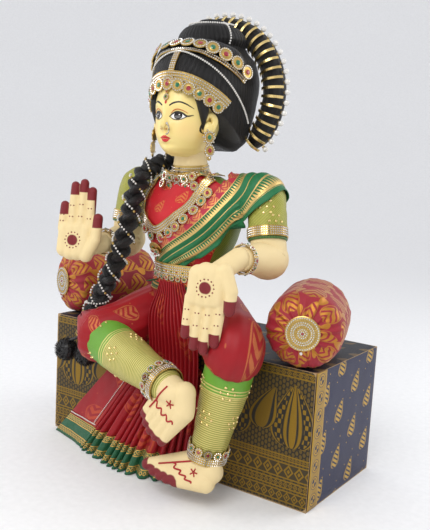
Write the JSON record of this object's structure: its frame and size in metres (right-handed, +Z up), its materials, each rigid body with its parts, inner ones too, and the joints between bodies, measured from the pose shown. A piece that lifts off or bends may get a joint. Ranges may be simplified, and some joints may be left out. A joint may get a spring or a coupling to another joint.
{
  "type": "festival doll on a box seat",
  "caption": "Seated cloth festival doll in a silk sari with bead jewellery, posed on a brocade covered box seat between bolsters.",
  "frame": {"origin": "centre of the seat box's bottom face, on the surface it stands on", "axes": "+Z up, the doll faces -Y, its left side is +X"},
  "size_m": [0.5044, 0.3025, 0.6253],
  "materials": {
    "board": "plain light board, covered",
    "dowel": "plain round dowel",
    "brocade_gold": "woven brocade, old gold on olive black",
    "brocade_navy": "woven brocade, gold figures on navy",
    "border_gold": "metallic thread border on green silk",
    "brocade_pink": "woven brocade, yellow gold leaves on pink red",
    "silk_red": "silk with copper gold figures",
    "silk_green": "olive gold striped silk",
    "skin_cloth": "tight cream cotton, stuffed",
    "face_paint": "painted moulded face",
    "hair_thread": "combed black thread",
    "jewellery": "gold coloured settings with clear and coloured stones",
    "gold_wire": "polished wire",
    "pearl": "pearl coating"
  },
  "bodies": {
    "seat": {"seat_boards": "board", "seat_long_panels": "board", "seat_end_panels": "board", "seat_cover_faces": "brocade_gold", "seat_cover_ends": "brocade_navy", "seat_cover_top": "brocade_navy", "seat_border_strips": "border_gold"},
    "doll": {"torso": "skin_cloth", "neck_post": "dowel", "neck": "skin_cloth", "blouse": "silk_green", "pallu": "border_gold", "waist_belt": "jewellery", "waist_sash": "brocade_pink", "choker": "jewellery", "collar_necklace": "jewellery", "long_necklace": "jewellery", "thigh_left": "silk_red", "thigh_right": "silk_red", "sari_pleats": "silk_red", "skirt_fan": "silk_red", "skirt_border": "border_gold", "plait": "hair_thread", "plait_tie": "jewellery", "plait_pompoms": "hair_thread"},
    "head": {"head": "face_paint", "hair_cap": "hair_thread", "forehead_band": "jewellery", "hair_pearl_chain": "pearl", "tiara": "jewellery", "hair_ridge": "hair_thread", "top_bun": "hair_thread", "halo_roll": "hair_thread", "halo_pins": "gold_wire", "halo_pearls": "pearl", "tikka": "jewellery", "ear_stud_left": "jewellery", "ear_stud_right": "jewellery"},
    "earring_left": {"earring_left": "jewellery"},
    "earring_right": {"earring_right": "jewellery"},
    "upper_arm_left": {"upper_arm_left": "silk_green", "sleeve_cuff_left": "jewellery"},
    "forearm_left": {"forearm_left": "skin_cloth", "bangle_left": "jewellery"},
    "hand_left": {"hand_left": "skin_cloth"},
    "shin_left": {"shin_left": "silk_green", "anklet_left": "jewellery", "foot_left": "skin_cloth"},
    "bolster_left": {"bolster_left": "brocade_pink", "bolster_left_discs": "jewellery"},
    "upper_arm_right": {"upper_arm_right": "silk_green", "sleeve_cuff_right": "jewellery"},
    "forearm_right": {"forearm_right": "skin_cloth", "bangle_right": "jewellery"},
    "hand_right": {"hand_right": "skin_cloth"},
    "shin_right": {"shin_right": "silk_green", "anklet_right": "jewellery", "foot_right": "skin_cloth"},
    "bolster_right": {"bolster_right": "brocade_pink", "bolster_right_discs": "jewellery"}
  },
  "joints": [
    {"name": "doll_lift", "type": "slide", "parent": "seat", "child": "doll", "axis": [0, 0, 1], "range_m": [0, 0.06]},
    {"name": "head_turn", "type": "hinge", "parent": "doll", "child": "head", "pos_m": [0, -0.07, 0.43], "axis": [0, 0, 1], "range_deg": [-15, 15]},
    {"name": "bolster_slide_left", "type": "slide", "parent": "seat", "child": "bolster_left", "axis": [1, 0, 0], "range_m": [0, 0.03]},
    {"name": "bolster_slide_right", "type": "slide", "parent": "seat", "child": "bolster_right", "axis": [-1, 0, 0], "range_m": [0, 0.03]},
    {"name": "earring_swing_left", "type": "hinge", "parent": "head", "child": "earring_left", "pos_m": [0.0461, -0.094, 0.447], "axis": [1, 0, 0], "range_deg": [-15, 15]},
    {"name": "shoulder_left", "type": "hinge", "parent": "doll", "child": "upper_arm_left", "pos_m": [0.111, -0.054, 0.384], "axis": [1, 0, 0], "range_deg": [-20, 0]},
    {"name": "elbow_left", "type": "hinge", "parent": "upper_arm_left", "child": "forearm_left", "pos_m": [0.129, -0.07, 0.305], "axis": [1, 0, 0], "range_deg": [-8, 0]},
    {"name": "wrist_left", "type": "hinge", "parent": "forearm_left", "child": "hand_left", "pos_m": [0.127, -0.15, 0.311], "axis": [1, 0, 0], "range_deg": [-25, 0]},
    {"name": "knee_left", "type": "hinge", "parent": "doll", "child": "shin_left", "pos_m": [0.13, -0.139, 0.206], "axis": [1, 0, 0], "range_deg": [-5, 0]},
    {"name": "earring_swing_right", "type": "hinge", "parent": "head", "child": "earring_right", "pos_m": [-0.0461, -0.094, 0.447], "axis": [1, 0, 0], "range_deg": [-15, 15]},
    {"name": "shoulder_right", "type": "hinge", "parent": "doll", "child": "upper_arm_right", "pos_m": [-0.105, -0.054, 0.384], "axis": [1, 0, 0], "range_deg": [-20, 0]},
    {"name": "elbow_right", "type": "hinge", "parent": "upper_arm_right", "child": "forearm_right", "pos_m": [-0.112, -0.066, 0.305], "axis": [1, 0, 0], "range_deg": [-8, 7]},
    {"name": "wrist_right", "type": "hinge", "parent": "forearm_right", "child": "hand_right", "pos_m": [-0.108, -0.134, 0.302], "axis": [1, 0, 0], "range_deg": [-15, 15]},
    {"name": "knee_right", "type": "hinge", "parent": "doll", "child": "shin_right", "pos_m": [-0.078, -0.142, 0.178], "axis": [0, 0, 1], "range_deg": [-12, 0]}
  ]
}
